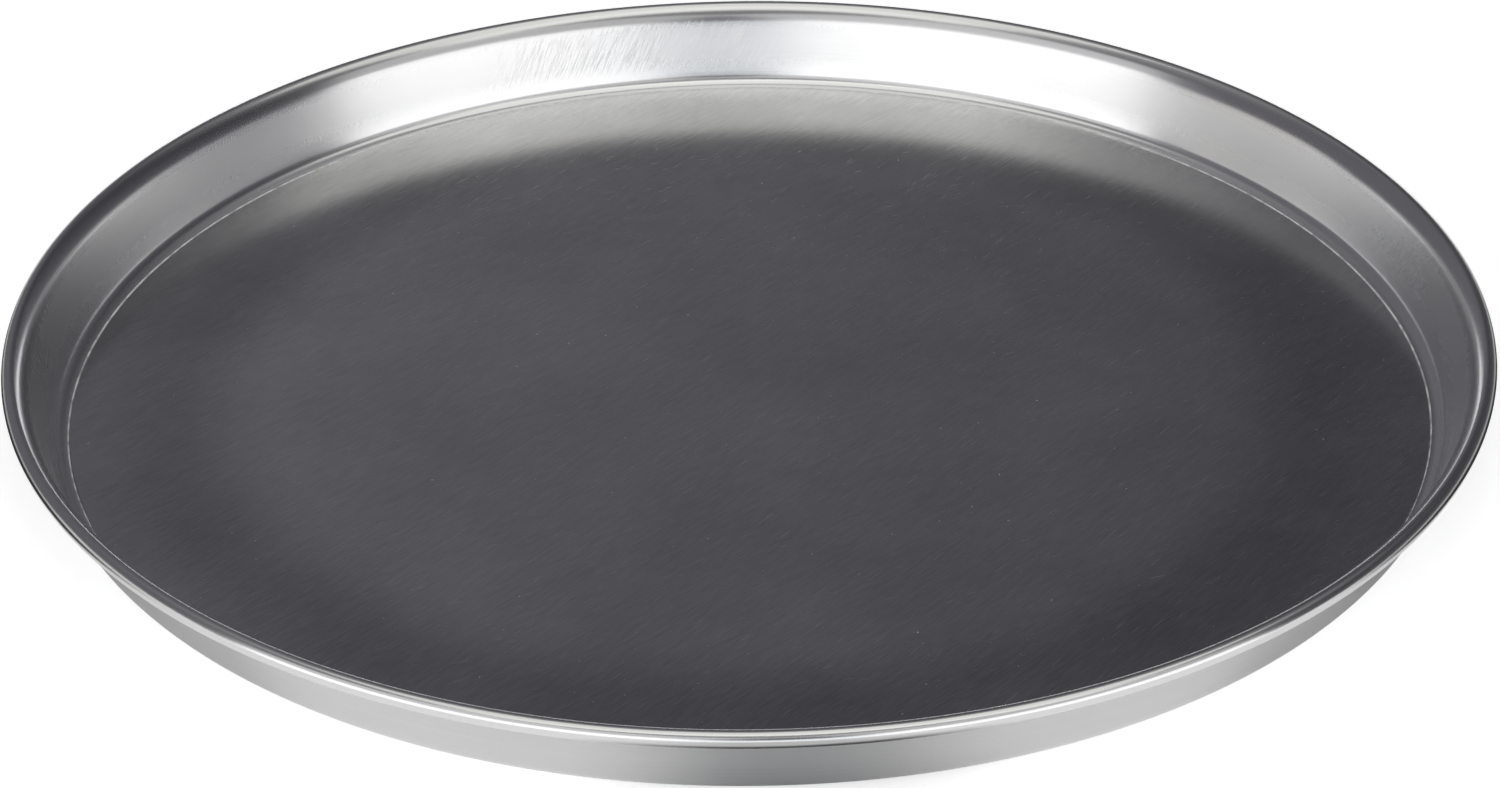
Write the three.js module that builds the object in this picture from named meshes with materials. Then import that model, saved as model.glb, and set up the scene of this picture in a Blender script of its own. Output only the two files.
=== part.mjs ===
// Tapered baking pan: one aluminium sheet with a flat floor, a short wall that leans outward
// and flares into a rim curled outward over a stiffening wire. Millimetres, +Z up, standing on Z = 0.

import * as THREE from 'three';

// Driving dimensions
const rimDiameter = 410; // over the outside of the rolled rim
const floorDiameter = 384.3; // where the inner wall face would meet the floor without a fillet
const panHeight = 24.5; // from the table to the top of the rim
const sheetThickness = 1.0;
const cornerRadius = 4.0; // inside fillet between floor and wall
const lipRadius = 6.5; // inner face of the flare between wall and rolled rim
const lipSlope = THREE.MathUtils.degToRad(52); // lean from upright where the flare gives way to the roll
const beadDiameter = 4.6; // outside of the rolled rim's section
const wireClearance = 0.3; // between the wire and the inside of the curl
const curlSlit = 0.4; // between the curl's free edge and the outside of the wall
const toolLineWidth = 0.7; // fine groove that rings the floor beside the fillet
const toolLineDepth = 0.2;

// Facets
const facetsAround = 120;
const cornerSteps = 3;
const lipSteps = 3;
const quarterSteps = 3; // in each quarter of the curl
const wireSides = 10;

// A section is drawn in a half plane: x is the distance from the pan's axis, y is the height.
const section = (x, y) => new THREE.Vector2(x, y);

const alongAngle = (centre, radius, angle) =>
  section(centre.x + radius * Math.cos(angle), centre.y + radius * Math.sin(angle));

function arc(centre, radius, startAngle, endAngle, steps) {
  const points = [];
  for (let step = 0; step <= steps; step += 1) {
    const angle = THREE.MathUtils.lerp(startAngle, endAngle, step / steps);
    points.push(alongAngle(centre, radius, angle));
  }
  return points;
}

// A round stretch drawn through each of the given angles, so that its highest and widest points are met.
function arcThrough(centre, radius, angles, stepsEach) {
  const points = [alongAngle(centre, radius, angles[0])];
  for (let k = 1; k < angles.length; k += 1) {
    points.push(...arc(centre, radius, angles[k - 1], angles[k], stepsEach).slice(1));
  }
  return points;
}

// Turn a section about the pan's upright axis.
function revolve(points) {
  return new THREE.LatheGeometry(points, facetsAround).rotateX(Math.PI / 2);
}

// The rolled rim is a ring of round section that touches the rim's diameter and the pan's height.
const beadRadius = beadDiameter / 2;
const curlCavity = beadRadius - sheetThickness;
const beadCentre = section(rimDiameter / 2 - beadRadius, panHeight - beadRadius);

// The flare is a wider round that meets the bead with one common tangent.
const lipEnd = Math.PI - lipSlope;
const lipCentre = alongAngle(beadCentre, beadRadius - lipRadius, lipEnd);

// The wall's inner face runs from the floor's corner until it is tangent to the flare.
const floorCorner = section(floorDiameter / 2, sheetThickness);
const cornerToLip = lipCentre.clone().sub(floorCorner);
const taper = Math.asin(cornerToLip.x / cornerToLip.length())
  - Math.asin(lipRadius / cornerToLip.length());
const wallSide = Math.PI - taper;

// Both faces of the corner fillet share one centre, so the sheet keeps its thickness round it.
const filletInset = cornerRadius * Math.tan((Math.PI / 2 - taper) / 2);
const floorEdge = floorCorner.x - filletInset;
const cornerCentre = section(floorEdge, sheetThickness + cornerRadius);

// The curl rolls over the top and the outside, and turns in until its free edge is one slit off the wall,
// or is at the curl's nearest point to a wall that leans further away.
const wallToBead = lipRadius - sheetThickness - (lipRadius - beadRadius) * Math.cos(lipSlope - taper);
const nearestPoint = -1;
const freeEdge = -taper - Math.acos(Math.max(nearestPoint, (curlSlit - wallToBead) / beadRadius));
const curlTurns = [lipEnd, Math.PI / 2, 0, -Math.PI / 2, freeEdge];

// The pan's sheet: out along the base, up the wall, over the flare, round the curl and back down the inside.
function panSection() {
  const straightDown = -Math.PI / 2;
  return [
    section(0, 0),
    ...arc(cornerCentre, cornerRadius + sheetThickness, straightDown, -taper, cornerSteps),
    ...arc(lipCentre, lipRadius - sheetThickness, wallSide, lipEnd, lipSteps),
    ...arcThrough(beadCentre, curlCavity, curlTurns, quarterSteps).slice(1),
    ...arcThrough(beadCentre, beadRadius, curlTurns, quarterSteps).reverse(),
    ...arc(lipCentre, lipRadius, lipEnd, wallSide, lipSteps).slice(1),
    ...arc(cornerCentre, cornerRadius, -taper, straightDown, cornerSteps),
    section(floorEdge - toolLineWidth / 2, sheetThickness - toolLineDepth),
    section(floorEdge - toolLineWidth, sheetThickness),
    section(0, sheetThickness),
  ];
}

// The wire fills the curl, less its clearance.
function wireSection() {
  const wireRadius = curlCavity - wireClearance;
  return arc(beadCentre, wireRadius, wallSide, wallSide + 2 * Math.PI, wireSides);
}

const aluminium = new THREE.MeshStandardMaterial({ color: 0xc9cacc, roughness: 0.35, metalness: 1 });
const steelWire = new THREE.MeshStandardMaterial({ color: 0x8f9194, roughness: 0.45, metalness: 1 });

function piece(name, points, material) {
  const mesh = new THREE.Mesh(revolve(points), material);
  mesh.name = name;
  return mesh;
}

const bakingPan = new THREE.Group();
bakingPan.add(piece('pan_body', panSection(), aluminium));
bakingPan.add(piece('rim_wire', wireSection(), steelWire));

export default bakingPan;
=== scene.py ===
# %% [markdown]
# # A tapered baking pan
# The pan is one round of aluminium sheet. Its floor is flat, its short wall leans outward, and its edge
# is rolled outward over a wire. Bare metal has hardly any colour of its own: it shows the room. So this
# lesson is half about the metal's finish and half about the soft lights and dark corners that it mirrors.

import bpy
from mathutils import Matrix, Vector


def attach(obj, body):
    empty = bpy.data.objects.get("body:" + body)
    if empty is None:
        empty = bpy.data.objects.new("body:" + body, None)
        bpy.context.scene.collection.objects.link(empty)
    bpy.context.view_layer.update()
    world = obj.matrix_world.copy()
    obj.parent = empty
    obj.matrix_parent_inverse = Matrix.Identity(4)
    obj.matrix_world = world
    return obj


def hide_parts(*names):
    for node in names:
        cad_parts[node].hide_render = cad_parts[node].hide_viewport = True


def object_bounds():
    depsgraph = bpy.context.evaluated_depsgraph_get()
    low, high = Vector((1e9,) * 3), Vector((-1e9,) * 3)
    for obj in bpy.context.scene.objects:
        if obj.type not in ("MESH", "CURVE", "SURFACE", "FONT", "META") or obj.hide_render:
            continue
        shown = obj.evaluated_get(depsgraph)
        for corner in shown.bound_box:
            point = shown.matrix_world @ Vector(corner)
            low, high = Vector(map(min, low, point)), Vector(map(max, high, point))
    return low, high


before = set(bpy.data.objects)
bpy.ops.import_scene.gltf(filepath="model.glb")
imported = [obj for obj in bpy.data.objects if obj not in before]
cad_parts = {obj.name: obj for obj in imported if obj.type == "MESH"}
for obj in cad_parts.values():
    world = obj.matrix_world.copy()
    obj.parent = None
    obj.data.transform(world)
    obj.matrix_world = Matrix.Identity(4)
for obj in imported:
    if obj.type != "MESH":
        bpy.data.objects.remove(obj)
cad_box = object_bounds()
print("CAD nodes:", sorted(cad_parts))

# %% [markdown]
# ## The sizes that drive everything
# A maker would order this pan by its outside diameter, its height and its sheet. The first two are read
# from the solids, so that the dressed pan fills the same box. The others are the small rounds that the
# tools leave: the corner of the form, the flare under the rim and the curl. All lengths are in metres.

# %% Sizes
import math
import bmesh
import bpy
from mathutils import Matrix, Vector

MM = 0.001
rim_radius = cad_box[1].x
pan_height = cad_box[1].z
floor_corner_radius = 191.85 * MM  # where the inner wall would meet the floor without a fillet
sheet = 1.0 * MM
corner_radius = 4.0 * MM  # inside fillet between floor and wall
lip_radius = 9.5 * MM  # inner face of the flare between wall and curl
lip_slope = math.radians(52)  # lean from upright where the flare gives way to the curl
bead_radius = 2.3 * MM  # outside of the curl's section
curl_slit = 0.4 * MM  # between the curl's free edge and the wall
tool_line_width = 0.7 * MM
tool_line_depth = 0.2 * MM
print("the pan is", round(2 * rim_radius / MM, 1), "mm wide and", round(pan_height / MM, 1), "mm high")

# %% [markdown]
# ## One smooth line from floor to rim
# Sheet metal can't turn a sharp corner, so every bend of the pan runs into the next one without a kink.
# The curl is a round that touches the box at the top and at the side. The flare is a wider round that
# meets it with one common tangent. The wall is the line from the floor's corner that just touches the
# flare. Its lean could be measured and typed in, but worked out like this it stays true when a size
# changes.

# %% Tangents
quarter = math.pi / 2
bead_across = rim_radius - bead_radius
bead_up = pan_height - bead_radius
lip_across = bead_across + (lip_radius - bead_radius) * math.cos(lip_slope)
lip_up = bead_up - (lip_radius - bead_radius) * math.sin(lip_slope)
reach = math.hypot(lip_across - floor_corner_radius, lip_up - sheet)
taper = math.asin((lip_across - floor_corner_radius) / reach) - math.asin(lip_radius / reach)
floor_edge = floor_corner_radius - corner_radius * math.tan((quarter - taper) / 2)
wall_to_bead = lip_radius - sheet - (lip_radius - bead_radius) * math.cos(lip_slope - taper)
free_edge = -taper - math.acos((curl_slit - wall_to_bead) / bead_radius)
print("the wall leans", round(math.degrees(taper), 2), "degrees; the floor is flat out to", floor_edge)

# %% [markdown]
# ## Small helpers for modelling by hand
# Blender's operators act on whatever is selected, so every step first lets go of everything. In edit mode
# the points to work on are picked by where they are, as a person would pick a ring of points with the
# mouse. The open edge of a disc is drawn out ring by ring along a section, much as a roller moves metal
# on a lathe.

# %% Modelling helpers
def let_go_of_everything():
    if bpy.context.object and bpy.context.object.mode != "OBJECT":
        bpy.ops.object.mode_set(mode="OBJECT")
    bpy.ops.object.select_all(action="DESELECT")


def new_piece(name):
    """Name the primitive that was just added, and put its place and size into its mesh."""
    piece = bpy.context.object
    piece.name = name
    bpy.ops.object.transform_apply(location=True, rotation=True, scale=True)
    return piece


def pick_points(piece, wanted):
    """Select the points of a piece in edit mode for which wanted(place) is true."""
    mesh = bmesh.from_edit_mesh(piece.data)
    bpy.ops.mesh.select_mode(type="VERT")
    bpy.ops.mesh.select_all(action="DESELECT")
    for point in mesh.verts:
        point.select = wanted(point.co)
    mesh.select_flush(True)
    bmesh.update_edit_mesh(piece.data)


def draw_out_edge(path):
    """Extrude the open edge of the active disc from each (radius, height) of a path to the next."""
    bpy.ops.object.mode_set(mode="EDIT")
    bpy.ops.mesh.select_mode(type="EDGE")
    bpy.ops.mesh.select_all(action="DESELECT")
    bpy.ops.mesh.select_non_manifold()
    for start, end in zip(path, path[1:]):
        growth = end[0] / start[0]
        bpy.ops.mesh.extrude_edges_move()
        bpy.ops.transform.resize(value=(growth, growth, 1), center_override=(0, 0, 0))
        bpy.ops.transform.translate(value=(0, 0, end[1] - start[1]))
    bpy.ops.object.mode_set(mode="OBJECT")


def on_round(across, up, radius, angle):
    return across + radius * math.cos(angle), up + radius * math.sin(angle)


def arc(across, up, radius, first, last, steps):
    """Points of a round stretch of a section, without its first one."""
    for step in range(1, steps + 1):
        yield on_round(across, up, radius, first + (last - first) * step / steps)


print("modelling helpers are ready")

# %% [markdown]
# ## The section of the sheet
# Cut the pan through its middle, and the face that the cook sees is one line: floor, fine line, fillet,
# wall, flare and curl. It could be traced point by point. Here every stretch follows from the sizes
# instead. The wall gets many rings, because a spun wall isn't quite straight: this one bows out by three
# hundredths of a millimetre in its lower half, and in by as much above. Only the way it mirrors the
# lights shows that.

# %% Draw the section
floor_rings = 6
corner_steps = 12
wall_rings = 14
wall_bend = math.radians(1.0)  # turn of the wall at its foot and its head, against a straight one
lip_steps = 8
curl_steps = 12  # in each quarter of the curl

blank_radius = floor_edge - tool_line_width
line_radius = floor_edge - tool_line_width / 2
wall_side = math.pi - taper
lip_end = math.pi - lip_slope
curl_turns = [lip_end, quarter, 0, -quarter, free_edge]

section = [(blank_radius * ring / floor_rings, sheet) for ring in range(1, floor_rings + 1)]
section += [(line_radius, sheet), (floor_edge, sheet)]
section += arc(floor_edge, sheet + corner_radius, corner_radius, -quarter, -taper, corner_steps)
foot = section[-1]
head = on_round(lip_across, lip_up, lip_radius, wall_side)
wall_length = math.dist(foot, head)
for ring in range(1, wall_rings + 1):
    share = ring / wall_rings
    from_middle = 2 * share - 1  # -1 at the foot, 1 at the head
    bow = wall_length * wall_bend * (from_middle ** 3 - from_middle) / 4
    section.append((foot[0] + (head[0] - foot[0]) * share + bow * math.cos(taper),
                    foot[1] + (head[1] - foot[1]) * share - bow * math.sin(taper)))
section += arc(lip_across, lip_up, lip_radius, wall_side, lip_end, lip_steps)
for first, last in zip(curl_turns, curl_turns[1:]):
    section += arc(bead_across, bead_up, bead_radius, first, last, curl_steps)
print("section:", len(section), "points, with a wall", round(wall_length / MM, 2), "mm long")

# %% [markdown]
# ## The pan, spun from a flat blank
# The real pan starts as a flat disc that turns on a lathe while a roller pushes its edge up over a form.
# The mesh is made the same way: the edge of a small disc is drawn out over the floor, round the fillet,
# up the wall, over the flare and round the curl. A Screw modifier on a drawn line would give the same
# rings, but its seam and its middle would have to be merged.

# %% Spin the sheet
points_around = 360
let_go_of_everything()
bpy.ops.mesh.primitive_circle_add(vertices=points_around, radius=section[0][0], fill_type="TRIFAN",
                                  location=(0, 0, section[0][1]))
pan = new_piece("pan_sheet")
draw_out_edge(section)
print("upper face of the sheet:", len(section), "rings of", points_around, "points")

# %% [markdown]
# ## One even thickness
# So far only the face that the cook sees is there. The other face could be drawn out in the same way, but
# the two would have to be joined at the free edge of the curl. Solidify does both in one step: it sets a
# second face off towards the outside, so that the fillet, the flare and the curl are all one sheet thick.

# %% Give the sheet its thickness
thickness = pan.modifiers.new("sheet", "SOLIDIFY")
thickness.thickness = sheet
thickness.offset = -1
thickness.use_even_offset = True
thickness.use_quality_normals = True
bpy.ops.object.modifier_apply(modifier=thickness.name)
print("sheet with both faces:", len(pan.data.polygons), "faces")

# %% [markdown]
# ## The fine line round the floor
# Just inside the fillet a fine bright ring shows on the floor, where the edge of the block that held the
# blank pressed into it. Bump could fake it, but it is a real groove, so it is moved in the mesh: the ring
# of points in the middle of that strip goes down by a fifth of a millimetre, on the upper face only.

# %% Press the line
line_reach = tool_line_width / 8
crease_angle = math.radians(14)


def on_the_line(place):
    off_line = abs(math.hypot(place.x, place.y) - line_radius)
    return off_line < line_reach and place.z > sheet / 2


bpy.ops.object.mode_set(mode="EDIT")
pick_points(pan, on_the_line)
bpy.ops.transform.translate(value=(0, 0, -tool_line_depth))
bpy.ops.object.mode_set(mode="OBJECT")
bpy.ops.object.shade_smooth_by_angle(angle=crease_angle)
print("pan box in mm:", [tuple(round(x / MM, 2) for x in corner) for corner in pan.bound_box][::6])

# %% [markdown]
# ## The wire in the rim
# Inside the curl runs a hoop of steel wire that keeps the thin edge round. Only a sliver of it can be
# seen through the slit under the rim. Blender has a ready torus, but the hoop is spun here, as the sheet
# was: a circle is stood up inside the curl and turned about the pan's axis, so that its place and size
# come from the curl's.

# %% Spin the wire
wire_clearance = 0.3 * MM
wire_radius = bead_radius - sheet - wire_clearance
wire_sides = 24
merge_distance = 0.005 * MM

let_go_of_everything()
bpy.ops.mesh.primitive_circle_add(vertices=wire_sides, radius=wire_radius,
                                  location=(bead_across, 0, bead_up), rotation=(quarter, 0, 0))
wire = new_piece("rim_wire_hoop")
bpy.ops.object.mode_set(mode="EDIT")
bpy.ops.mesh.select_all(action="SELECT")
bpy.ops.mesh.spin(steps=points_around, angle=2 * math.pi, center=(0, 0, 0), axis=(0, 0, 1))
bpy.ops.mesh.select_all(action="SELECT")
bpy.ops.mesh.remove_doubles(threshold=merge_distance)
bpy.ops.mesh.normals_make_consistent(inside=False)
bpy.ops.object.mode_set(mode="OBJECT")
bpy.ops.object.shade_smooth()
print("wire:", round(2 * wire_radius / MM, 2), "mm thick,", len(wire.data.polygons), "faces")

# %% [markdown]
# ## Shader maths as plain Python
# A finish is a few noises added, scaled and cut off. Written as node calls that is hard to read, so one
# small class wraps a node's output: a plus or a minus between two of them adds a Math node, and one
# method adds any other node, with its settings first and its sockets after.

# %% The signal class
class Signal:
    """An output socket of a shader node, used in Python sums."""

    def __init__(self, tree, socket=None):
        self.tree = tree
        self.socket = socket

    def node(self, kind, settings=None, inputs=None, output=0):
        """Add a node: its settings, then its sockets by name or number. Give back one of its outputs."""
        made = self.tree.nodes.new(kind)
        for name, value in (settings or {}).items():
            setattr(made, name, value)
        for name, value in (inputs or {}).items():
            if isinstance(value, Signal):
                self.tree.links.new(value.socket, made.inputs[name])
            else:
                made.inputs[name].default_value = value
        return Signal(self.tree, made.outputs[output])

    def math(self, operation, first, second=0.0):
        return self.node("ShaderNodeMath", {"operation": operation}, {0: first, 1: second})

    def __add__(self, other):
        return self.math("ADD", self, other)

    def __sub__(self, other):
        return self.math("SUBTRACT", self, other)

    def __mul__(self, other):
        return self.math("MULTIPLY", self, other)

    def __rsub__(self, other):
        return self.math("SUBTRACT", other, self)

    def __abs__(self):
        return self.math("ABSOLUTE", self)

    __radd__ = __add__
    __rmul__ = __mul__

    def place(self):
        """Object coordinates: where a point lies on its piece, in metres."""
        return self.node("ShaderNodeTexCoord", output="Object")

    def part(self, axis):
        """The X, Y or Z of this vector."""
        return self.node("ShaderNodeSeparateXYZ", {}, {"Vector": self}, output=axis)

    def vector(self, operation, inputs, output=0):
        return self.node("ShaderNodeVectorMath", {"operation": operation}, inputs, output)

    def between(self, low, high):
        """0 below low, 1 above high, and a smooth rise between them."""
        return self.node("ShaderNodeMapRange", {"interpolation_type": "SMOOTHSTEP"},
                         {"Value": self, "From Min": low, "From Max": high})

    def noise(self, detail=2.0, roughness=0.5, size=1.0):
        """A soft noise from 0 to 1 over this vector, with marks of the given size."""
        return self.node("ShaderNodeTexNoise", {}, {"Vector": self, "Scale": 1 / size, "Detail": detail,
                                                    "Roughness": roughness})


print("signals know", [name for name in vars(Signal) if not name.startswith("_")])

# %% [markdown]
# ## What every finish needs
# All the finishes here are bare metal: a grey that varies a little, a roughness that varies a little, and
# lines so shallow that bump is enough for them. A few short functions take up what repeats, so that a
# finish below is only its own noises.

# %% Finish helpers
def new_finish(name, metallic=1.0):
    """A new material, its shader node and a signal to build on."""
    material = bpy.data.materials.new(name)
    material.use_nodes = True
    shader = material.node_tree.nodes["Principled BSDF"]
    shader.inputs["Metallic"].default_value = metallic
    return material, shader, Signal(material.node_tree)


def feed(signal, shader, socket):
    signal.tree.links.new(signal.socket, shader.inputs[socket])


def grey(brightness):
    return brightness, brightness, brightness, 1


def mixed_colour(start, factor, first, second):
    """The first colour where the factor is 0, the second where it is 1."""
    return start.node("ShaderNodeMix", {"data_type": "RGBA"},
                      {"Factor": factor, "A": first, "B": second}, output=2)


def emboss(shader, height, depth):
    """Let a signal stand out of the surface, by a depth where it is 1."""
    bump = height.node("ShaderNodeBump", {}, {"Strength": 1.0, "Distance": depth, "Height": height})
    feed(bump, shader, "Normal")


print("finish helpers are ready")

# %% [markdown]
# ## Rolled sheet: the floor and the base
# The floor keeps the finish of the rolling mill: fine straight grain, all one way, that runs slantwise
# across this pan because the blank was laid on the lathe at any angle. On it lie a few hair scratches,
# tiny bright specks and faint cloudy patches. A wide ring before the edge is painted darker: painted
# shade, as the lights here leave that ring brighter than it should look. Grain could be drawn as lines,
# but a noise stretched over twenty times longer than wide has the same uneven ends.

# %% Rolled sheet finish
grain_angle = math.radians(48)
hair_angle = grain_angle + 0.09  # most scratches lie a few degrees off the grain
stray_angle = grain_angle - 0.5  # and some lie further off
# Painted shade: the floor's colour darkens in a wide ring between these distances from its middle.
painted_shade_from, painted_shade_full_from = 130 * MM, 160 * MM  # distances from the middle of the floor
painted_shade_full_to, painted_shade_to = 164 * MM, 188 * MM


def stretched(start, angle, length, width):
    """Object coordinates turned to an angle and squeezed, so that noise gets that length and width."""
    return start.node("ShaderNodeMapping", {"vector_type": "TEXTURE"},
                      {"Vector": start.place(), "Rotation": (0, 0, angle), "Scale": (length, width, width)})


def rolled_sheet(name, base_roughness, dark, light, scratch_depth):
    material, shader, start = new_finish(name)
    grain = stretched(start, grain_angle, length=7 * MM, width=0.30 * MM).noise(detail=3, roughness=0.6)
    clouds = start.place().noise(detail=3, size=60 * MM)
    # Specks and scratches are only the highest peaks of their noises.
    specks = start.place().noise(detail=1, size=1.3 * MM).between(0.79, 0.83)
    hair = stretched(start, hair_angle, length=12 * MM, width=0.30 * MM).noise(detail=1)
    stray = stretched(start, stray_angle, length=8 * MM, width=0.28 * MM).noise(detail=1)
    scratches = hair.between(0.72, 0.80) + stray.between(0.76, 0.82)
    radius = start.vector("LENGTH", {0: start.place()}, output="Value")
    # Painted shade: the ring before the floor's edge is coloured darker, on the base as well.
    ring = 0.4 * radius.between(painted_shade_from, painted_shade_full_from) - 0.15 * radius.between(painted_shade_full_to, painted_shade_to)
    tone = 0.7 + 0.72 * (grain - 0.5) + 0.54 * (clouds - 0.5) - ring
    feed(mixed_colour(start, tone, dark, light), shader, "Base Color")
    unevenness = 0.06 * (grain - 0.5) + 0.03 * (clouds - 0.5)
    feed(base_roughness + unevenness + 0.35 * specks + 0.16 * scratches, shader, "Roughness")
    emboss(shader, grain * 0.6 + specks * 0.8 - scratches * scratch_depth, depth=0.004 * MM)
    return material


floor_finish = rolled_sheet("rolled_floor", base_roughness=0.18, dark=grey(0.40), light=grey(1.0),
                            scratch_depth=1.0)
base_finish = rolled_sheet("rolled_base", base_roughness=0.34, dark=grey(0.53), light=grey(0.86),
                           scratch_depth=2.0)
print("rolled finishes:", floor_finish.name, base_finish.name)

# %% [markdown]
# ## Burnished metal: the inner wall and the rim
# The form inside the spinning pan leaves its inner wall smooth, and a hand with a polishing cloth leaves
# short slanted rub marks on it: in patches, and most of all at one place at the back. The curl is pressed
# by a hard roller and shines more, and so does the foot of the wall. The marks are noises on the
# direction from the pan's axis, so that they run round the pan with no seam. The roughness follows the
# height, so that wall and rim can share one finish with no edge between them.

# %% Burnished finish
rim_blend = 2 * MM  # above and below the head of the wall
foot_height = 6 * MM
rubbed_across = -38 * MM  # middle of the most rubbed place, which is at the back
rubbed_inner, rubbed_outer = 20 * MM, 60 * MM  # it fades out between these distances
rubbed_depth = 50 * MM  # it fades in over this length towards the back


def round_the_axis(start, length, height, slant=0.0):
    """A vector for noise whose marks have that length round the pan and that height up the wall."""
    up = start.place().part("Z")
    turned = start.node("ShaderNodeVectorRotate", {"rotation_type": "Z_AXIS"},
                        {"Vector": start.place(), "Angle": up * (slant / rim_radius)})
    flat = start.vector("MULTIPLY", {0: turned, 1: (1, 1, 0)})
    heading = start.vector("NORMALIZE", {0: flat})
    around = start.vector("SCALE", {0: heading, "Scale": rim_radius / length})
    lift = start.node("ShaderNodeCombineXYZ", {}, {"Z": up * (1 / height)})
    return start.vector("ADD", {0: around, 1: lift})


def rub_marks(start):
    """Short slanted marks, in patches and at the most rubbed place."""
    strokes = round_the_axis(start, length=0.45 * MM, height=7 * MM, slant=0.6)
    strokes = strokes.noise(detail=2, roughness=0.6).between(0.48, 0.70)
    patches = round_the_axis(start, length=25 * MM, height=18 * MM).noise(detail=2).between(0.40, 0.65)
    aside = abs(start.place().part("X") - rubbed_across)
    at_back = start.place().part("Y").between(0, rubbed_depth)
    rubbed = (1 - aside.between(rubbed_inner, rubbed_outer)) * at_back
    return (0.5 * patches + 1.2 * rubbed) * strokes


def burnished_metal():
    material, shader, start = new_finish("burnished_wall")
    height = start.place().part("Z")
    rim = height.between(head[1] - rim_blend, head[1] + rim_blend)
    low = 1 - height.between(foot[1], foot[1] + foot_height)
    marks = rub_marks(start) * (1 - rim) * (1 - low)
    lines = round_the_axis(start, length=60 * MM, height=0.30 * MM).noise(detail=3, roughness=0.6)
    clouds = round_the_axis(start, length=45 * MM, height=20 * MM).noise(detail=2)
    tone = 0.25 + 0.3 * lines + 0.3 * clouds + 0.3 * marks - 0.6 * rim
    feed(mixed_colour(start, tone, grey(0.72), grey(0.90)), shader, "Base Color")
    shine = 0.08 * rim + 0.06 * low
    feed(0.28 - shine + 0.04 * (clouds - 0.5) + 0.10 * marks, shader, "Roughness")
    emboss(shader, (0.1 + 0.5 * low) * lines + 0.8 * marks, depth=0.016 * MM)
    return material


wall_finish = burnished_metal()
print("burnished finish:", wall_finish.name)

# %% [markdown]
# ## Spun metal: the outside
# Outside, the roller leaves fine lines round the wall. They act like a brushed surface: light smears up
# and down across the lines and stays sharp along them. Bump alone would need lines too fine for a
# picture, so the shader's anisotropy gives that smear, and bump gives only the lines that are wide enough
# to see.

# %% Spun finish
def spun_metal():
    material, shader, start = new_finish("spun_outside")
    shader.inputs["Anisotropic"].default_value = 1.0
    shader.inputs["Anisotropic Rotation"].default_value = 0.25
    lines = round_the_axis(start, length=60 * MM, height=0.25 * MM).noise(detail=4, roughness=0.6)
    clouds = round_the_axis(start, length=45 * MM, height=20 * MM).noise(detail=2)
    tone = 0.6 * lines + 0.4 * clouds
    feed(mixed_colour(start, tone, grey(0.66), grey(0.84)), shader, "Base Color")
    feed(0.55 + 0.05 * (lines - 0.5) + 0.06 * (clouds - 0.5), shader, "Roughness")
    emboss(shader, lines, depth=0.004 * MM)
    return material


outside_finish = spun_metal()
print("spun finish:", outside_finish.name)

# %% [markdown]
# ## The scored line
# The fine ring on the floor is scratched metal. A rough line gathers light from everywhere, so it looks
# bright on the dark mirror of the floor. It could be one even grey, but the real one comes and goes along
# the way, so a noise changes its colour and its roughness together.

# %% Scored finish
def scored_metal():
    material, shader, start = new_finish("scored_line")
    breaks = round_the_axis(start, length=4 * MM, height=4 * MM).noise(detail=3, roughness=0.7)
    breaks = breaks.between(0.3, 0.6)
    feed(mixed_colour(start, breaks, grey(0.66), grey(0.95)), shader, "Base Color")
    feed(0.45 + 0.4 * breaks, shader, "Roughness")
    return material


line_finish = scored_metal()
print("scored finish:", line_finish.name)

# %% [markdown]
# ## Drawn wire
# The hoop in the rim is plain steel wire, greyer than the sheet, with faint lines along its length from
# the die that it was drawn through. Hardly any of it shows, so one noise does for its colour, its
# roughness and its lines.

# %% Wire finish
def drawn_wire():
    material, shader, start = new_finish("drawn_wire")
    lines = round_the_axis(start, length=40 * MM, height=0.12 * MM).noise(detail=3)
    feed(mixed_colour(start, lines, (0.46, 0.46, 0.47, 1), (0.60, 0.60, 0.61, 1)), shader, "Base Color")
    feed(0.38 + 0.12 * lines, shader, "Roughness")
    emboss(shader, lines, depth=0.003 * MM)
    return material


wire.data.materials.append(drawn_wire())
print("wire finish:", wire.data.materials[0].name)

# %% [markdown]
# ## Each finish in its place
# The floor inside the scored line is rolled sheet, and so is the base underneath. The inner wall, its
# fillet and the whole curl are burnished, and the outside of the wall is spun. Faces could be picked ring
# by ring, but they are quicker to sort by where their centres are and which way they look.

# %% Assign the finishes
finishes = {"wall": wall_finish, "floor": floor_finish, "base": base_finish, "outside": outside_finish,
            "line": line_finish}
curl_reach = 1.01 * bead_radius
near_floor = 1.5 * sheet


def finish_of(face):
    across, up = math.hypot(face.center.x, face.center.y), face.center.z
    outward = face.normal.x * face.center.x + face.normal.y * face.center.y
    if across < floor_edge and up < near_floor:
        if face.normal.z < 0:
            return "base"
        return "floor" if across < line_radius else "line"
    in_curl = math.hypot(across - bead_across, up - bead_up) < curl_reach
    return "outside" if outward > 0 and not in_curl else "wall"


for finish in finishes.values():
    pan.data.materials.append(finish)
order = list(finishes)
for face in pan.data.polygons:
    face.material_index = order.index(finish_of(face))
used = [face.material_index for face in pan.data.polygons]
print("faces:", {name: used.count(number) for number, name in enumerate(order)})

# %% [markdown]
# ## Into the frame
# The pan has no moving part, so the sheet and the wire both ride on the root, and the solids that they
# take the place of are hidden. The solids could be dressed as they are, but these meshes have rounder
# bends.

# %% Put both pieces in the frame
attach(pan, "root")
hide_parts("pan_body")
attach(wire, "root")
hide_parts("rim_wire")
print("in the frame:", pan.name, wire.name)

# %% [markdown]
# ## A pale floor with a low rim
# The studio floor is a wide disc of pale paper whose edge turns up gently all round, so that a low camera
# sees paper behind the pan from any side. A flat plane would end in a dark line there. The rim stays low,
# so that the pan mirrors the darker room above it.

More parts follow.
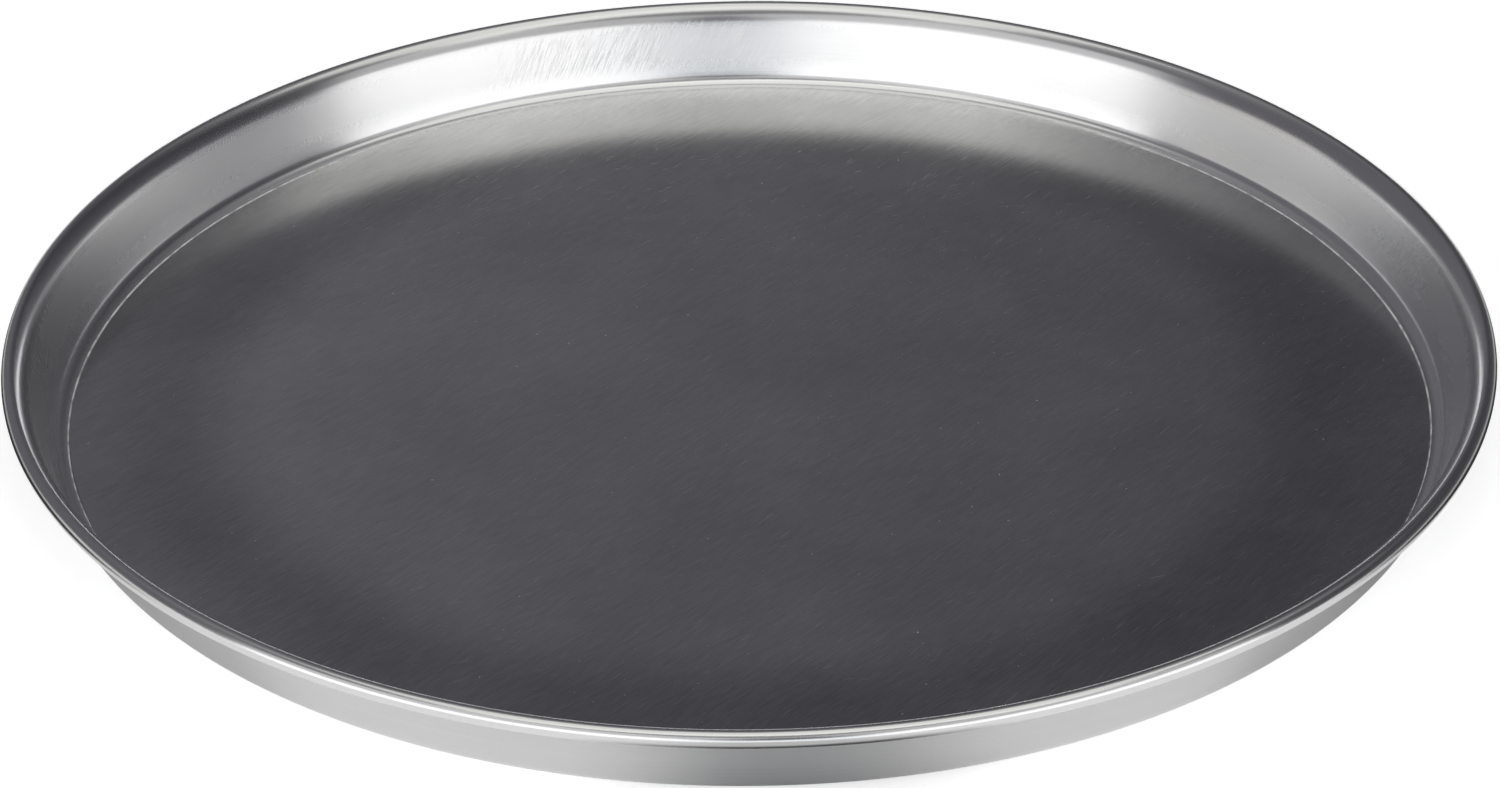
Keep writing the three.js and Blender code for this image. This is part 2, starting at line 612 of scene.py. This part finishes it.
# %% Studio floor
paper_radius = 3.0
paper_rise = 0.25
paper_points = 96
paper_steps = 8
paper_crease = math.radians(30)
paper_drop = 0.2 * MM  # below the pan's base, so that the two don't touch

let_go_of_everything()
bpy.ops.mesh.primitive_circle_add(vertices=paper_points, radius=paper_radius, fill_type="NGON",
                                  location=(0, 0, -paper_drop))
paper = new_piece("studio_paper")
draw_out_edge([(paper_radius, 0), *arc(paper_radius, paper_rise, paper_rise, -quarter, 0, paper_steps)])
bpy.ops.object.shade_smooth_by_angle(angle=paper_crease)
print("studio floor:", paper_radius, "m, rim", paper_rise, "m high")

# %% [markdown]
# ## Paper that glows a little
# Paper lit from below glows, and that makes it white without more light on the pan. It still takes the
# pan's shadow. The glow has one strength for the camera and another for the metal, which mirrors the
# paper most in front of the pan and far behind it. More lamps could light those places, but they would
# also reach the pan.

# %% Paper finish
glow_for_camera = 0.62
glow_in_metal = 0.42
glow_beside = 0.35  # share of it beside and behind the pan
glow_far_back = 1.3
front_from, front_to = -0.02, -0.20  # along Y, with the camera on the negative side
back_from, back_to = 0.8, 2.5
back_middle = 0.1
back_inner, back_outer = 0.95, 1.5  # the glow far back fades out sideways between these distances

paper_material, paper_shader, paper_start = new_finish("pale_paper", metallic=0.0)
paper_shader.inputs["Base Color"].default_value = grey(0.88)
paper_shader.inputs["Roughness"].default_value = 0.9
by_camera = paper_start.node("ShaderNodeLightPath", output="Is Camera Ray")
in_metal = sum(paper_start.node("ShaderNodeLightPath", output=ray)
               for ray in ("Is Glossy Ray", "Is Transmission Ray"))
paper_x, paper_y = (paper_start.place().part(axis) for axis in "XY")
in_front = 1 - paper_y.between(front_to, front_from)
aside = abs(paper_x - back_middle).between(back_inner, back_outer)
far_back = paper_y.between(back_from, back_to) * (1 - aside)
near_glow = glow_in_metal * (glow_beside + (1 - glow_beside) * in_front)
amount = glow_for_camera * by_camera + in_metal * (near_glow + glow_far_back * far_back)
glow = paper_start.node("ShaderNodeEmission", {}, {"Color": amount, "Strength": 1.0})
paper_skin = Signal(paper_start.tree, paper_shader.outputs[0])
glowing_skin = paper_start.node("ShaderNodeAddShader", {}, {0: paper_skin, 1: glow})
feed(glowing_skin, paper_start.tree.nodes["Material Output"], "Surface")
paper.data.materials.append(paper_material)
print("paper finish:", paper_material.name)

# %% [markdown]
# ## Soft lights
# Two wide soft boxes stand left and right behind the camera, each bright below and dimmer above. The back
# of the wall mirrors them as two near-white bands, and the gap between them, with a cool card in it, as a
# grey stripe. A small warm card at the left shows in the right of the wall. A light overhead, brighter in
# front, draws the line along the rim. One big lamp would be simpler, but the metal would look flat. Each
# light is given by its radiance, which is how bright its mirror image looks, whatever its size.

# %% Lights
box_distance = 2.2
overhead_height = 2.0
white = (1.0, 1.0, 1.0)
warm_white = (1.0, 0.995, 0.94)


def soft_box(name, place, facing, width, height, radiance, colour):
    """An area light of a given radiance that stands at a place and faces along a direction."""
    light = bpy.data.lights.new(name, "AREA")
    light.shape = "RECTANGLE"
    light.size = width
    light.size_y = height
    light.energy = radiance * math.pi * width * height
    light.color = colour
    lamp = bpy.data.objects.new(name, light)
    bpy.context.scene.collection.objects.link(lamp)
    lamp.location = place
    lamp.rotation_euler = facing.to_track_quat("-Z", "Y").to_euler()


def standing_box(name, heading, elevation, width, height, radiance, colour=white):
    """A soft box that looks at the pan. Heading 0 is the camera's side, and positive is to its right."""
    turn, lift = math.radians(heading), math.radians(elevation)
    level = math.cos(lift)
    place = box_distance * Vector((math.sin(turn) * level, -math.cos(turn) * level, math.sin(lift)))
    soft_box(name, place, -place, width, height, radiance, colour)


def overhead_light(name, middle, width, depth, radiance):
    place = Vector((*middle, overhead_height))
    soft_box(name, place, Vector((0, 0, -1)), width, depth, radiance, warm_white)


standing_box("left_soft_box", heading=-40, elevation=10, width=2.75, height=1.1, radiance=1.35,
             colour=(1.0, 1.0, 0.99))
standing_box("left_upper_box", heading=-40, elevation=37, width=2.75, height=1.15, radiance=0.58)
standing_box("right_soft_box", heading=44, elevation=10, width=2.35, height=1.1, radiance=1.28)
standing_box("right_upper_box", heading=44, elevation=37, width=2.35, height=1.15, radiance=0.52)
standing_box("front_card", heading=4, elevation=6.5, width=0.9, height=0.72, radiance=0.95,
             colour=(0.90, 0.96, 1.0))
standing_box("left_card", heading=-94, elevation=4, width=1.3, height=0.7, radiance=0.45,
             colour=(1.0, 0.97, 0.91))
overhead_light("overhead_front", middle=(0.2, -0.74), width=2.6, depth=0.58, radiance=0.87)
overhead_light("overhead_back", middle=(0.2, 0.12), width=2.6, depth=1.14, radiance=0.62)

# %% [markdown]
# ## Painted shade: dark cards on the paper
# The outside of the wall leans over the paper and mirrors it. Where it should look darker, dark cards on
# the paper stand in for shade there: painted shade that only the metal mirrors. A photographer lays such a
# card just out of the picture. These cards lie beside and in front of the pan. They could stay out of the
# picture too, but close to the pan they work best, so they are hidden from the camera and throw no shadow:
# only the metal sees them. Their edges fade out, so that it mirrors no hard line.

# %% Floor cards
card_drop = 0.1 * MM  # between the pan's base and the paper


def painted_shade_card(name, middle, width, depth, brightness, fade_x, fade_y, fade=1.0):
    """A dark card of painted shade, which only the metal sees, whose edges fade between two distances from
    its middle, by a share of fade front to back.
    """
    let_go_of_everything()
    bpy.ops.mesh.primitive_plane_add(size=1, location=(*middle, -card_drop))
    bpy.context.object.scale = (width, depth, 1)
    card = new_piece(name)
    card.visible_camera = False
    card.visible_diffuse = False
    card.visible_shadow = False
    material, shader, start = new_finish(name, metallic=0.0)
    shader.inputs["Roughness"].default_value = 1.0
    shader.inputs["Base Color"].default_value = grey(brightness)
    from_x = abs(start.place().part("X") - middle[0])
    from_y = abs(start.place().part("Y") - middle[1])
    feed((1 - from_x.between(*fade_x)) * (1 - fade * from_y.between(*fade_y)), shader, "Alpha")
    card.data.materials.append(material)
    print("card:", name, "at", middle)


# Painted shade: dark cards in front of and beside the pan, which the metal mirrors as shaded paper.
painted_shade_card("front_painted_shade_card", middle=(0.012, -0.19), width=0.20, depth=1.5, brightness=0.12,
           fade_x=(0.014, 0.066), fade_y=(0.012, 0.034), fade=0.62)
for name, across in (("left_painted_shade_card", -0.28), ("right_painted_shade_card", 0.28)):
    painted_shade_card(name, middle=(across, 0.0), width=0.16, depth=0.3, brightness=0.04,
               fade_x=(0.068, 0.08), fade_y=(0.08, 0.15))

# %% [markdown]
# ## A dim room
# The flat floor of the pan mirrors the room behind it, so the room decides how dark the floor looks. It
# could be one grey, but the floor is a little lighter at its left, so the room is too. Straight overhead
# it is lighter again, as under a pale ceiling.

# %% Room
lighter_walls = (0.138, 0.136, 0.152, 1)
darker_walls = (0.052, 0.051, 0.058, 1)
ceiling = (0.32, 0.32, 0.33, 1)
light_side, dark_side = -0.35, 0.30  # how far a look goes to the right, from -1 to 1
ceiling_from, ceiling_to = 0.55, 1.0  # how far a look goes up

world = bpy.data.worlds.new("dim_room")
bpy.context.scene.world = world
world.use_nodes = True
background = world.node_tree.nodes["Background"]
room = Signal(world.node_tree)
looking = room.node("ShaderNodeTexCoord", output="Generated")
upward = looking.part("Z")
shade = looking.part("X").between(light_side, dark_side) + 1.8 * (upward - 0.5)
walls = mixed_colour(room, shade, lighter_walls, darker_walls)
feed(mixed_colour(room, upward.between(ceiling_from, ceiling_to), walls, ceiling), background, "Color")
background.inputs["Strength"].default_value = 1.0
bpy.context.scene.view_settings.view_transform = "Standard"
print("room:", world.name)

# %% [markdown]
# ## The camera
# The photograph was taken from just over thirty degrees above the table with a long lens, so the rim is
# almost a plain ellipse. A camera could be moved by eye until it looks right. This one was fitted: its
# place, its slight roll and its lens bring the rim, the base and the fine floor line onto the picture's.

# %% Camera
camera_elevation = math.radians(30.182)
camera_distance = 5.843 * rim_radius
camera_turn = [("up", -0.009), ("right", -0.068), ("forward", 0.549)]  # degrees, one after another
lens_in_pixels = 4282.1
picture_width = 1500

back = Vector((0, -math.cos(camera_elevation), math.sin(camera_elevation)))
axes = {"forward": -back, "right": Vector((1, 0, 0))}
axes["up"] = axes["right"].cross(axes["forward"])
for about, degrees in camera_turn:
    turn = Matrix.Rotation(math.radians(degrees), 3, axes[about])
    axes = {name: axis if name == about else turn @ axis for name, axis in axes.items()}
placing = Matrix((axes["right"], axes["up"], -axes["forward"])).transposed().to_4x4()
placing.translation = camera_distance * back
lens = bpy.data.cameras.new("camera")
lens.sensor_width = 36
lens.lens = lens.sensor_width * lens_in_pixels / picture_width
lens.clip_start = 0.05
camera = bpy.data.objects.new("camera", lens)
camera.matrix_world = placing
bpy.context.scene.collection.objects.link(camera)
bpy.context.scene.camera = camera
print("camera:", round(lens.lens, 1), "mm lens at", [round(x, 3) for x in placing.translation])

# %% [markdown]
